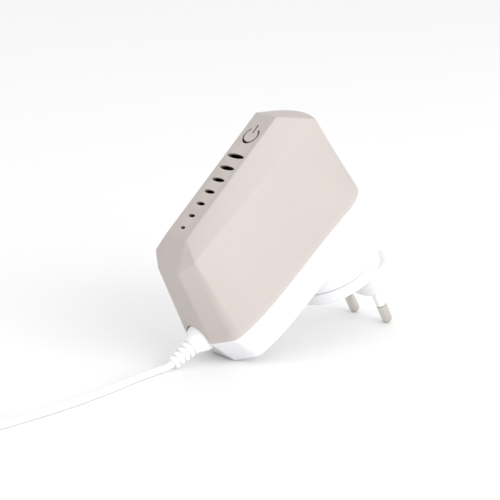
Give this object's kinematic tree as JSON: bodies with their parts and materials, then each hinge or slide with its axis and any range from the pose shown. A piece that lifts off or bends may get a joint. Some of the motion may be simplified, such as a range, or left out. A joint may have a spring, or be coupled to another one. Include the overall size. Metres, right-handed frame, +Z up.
{
  "type": "plug-in power adapter",
  "caption": "Faceted plug-in AC/DC power adapter with vented ridge, twist-lock two-pin plug head, release button, strain relief and coiled DC lead.",
  "frame": {"origin": "on the table, under the centre of the adapter's bounding box (free lead left out)", "axes": "+X from the cable end towards the plug, +Y across the width, +Z up; the adapter leans on its cable-end edge and its pin tips"},
  "size_m": [0.2132, 0.0603, 0.086],
  "materials": {
    "shell_champagne": "matte champagne lacquer on plastic, faintly sparkling",
    "shell_white": "glossy white",
    "lead_white": "satin white",
    "symbol_dark": "matte near-black",
    "nickel": "bright nickel plate",
    "sleeve_white": "satin off-white",
    "contact_copper": "bare copper alloy",
    "board_green": "green solder mask",
    "ferrite": "dark sintered ferrite",
    "winding_tape": "yellow polyester tape over copper",
    "black_plastic": "black moulded",
    "blue_film": "blue shrink film",
    "grey_plastic": "grey moulded",
    "red_ceramic": "red sleeve",
    "sink_metal": "plain extruded"
  },
  "bodies": {
    "adapter": {"front_shell": "shell_champagne", "rear_shell": "shell_white", "strain_relief": "lead_white", "lead": "lead_white", "lead_coil": "lead_white", "lead_tail": "lead_white", "dc_plug_grip": "lead_white", "symbol_backing": "symbol_dark", "vent_screen": "symbol_dark", "dc_plug_barrel": "nickel", "dc_plug_contact": "nickel", "contact_spring_near": "contact_copper", "contact_spring_far": "contact_copper", "circuit_board": "board_green", "transformer_core": "ferrite", "input_choke": "ferrite", "transformer_winding": "winding_tape", "contact_carrier": "black_plastic", "rectifier_diode": "black_plastic", "optocoupler": "black_plastic", "mains_capacitor_near": "black_plastic", "mains_capacitor_far": "black_plastic", "cable_tie": "black_plastic", "dc_plug_insulator": "black_plastic", "output_capacitor_near": "blue_film", "output_capacitor_far": "blue_film", "suppression_capacitor": "grey_plastic", "fuse": "red_ceramic", "heat_sink": "sink_metal"},
    "plug": {"plug_head": "shell_white", "pin_near": "nickel", "pin_far": "nickel", "pin_sleeve_near": "sleeve_white", "pin_sleeve_far": "sleeve_white"},
    "button": {"release_button": "lead_white"}
  },
  "joints": [
    {"name": "head_twist", "type": "hinge", "parent": "adapter", "child": "plug", "pos_m": [0.02773, 0, 0.0218], "axis": [-0.4858, 0, 0.8741], "range_deg": [-30, 0]},
    {"name": "button_press", "type": "slide", "parent": "adapter", "child": "button", "axis": [-0.5887, 0, 0.8083], "range_m": [0, 0.0012], "stiffness_N_per_m": 2500}
  ]
}
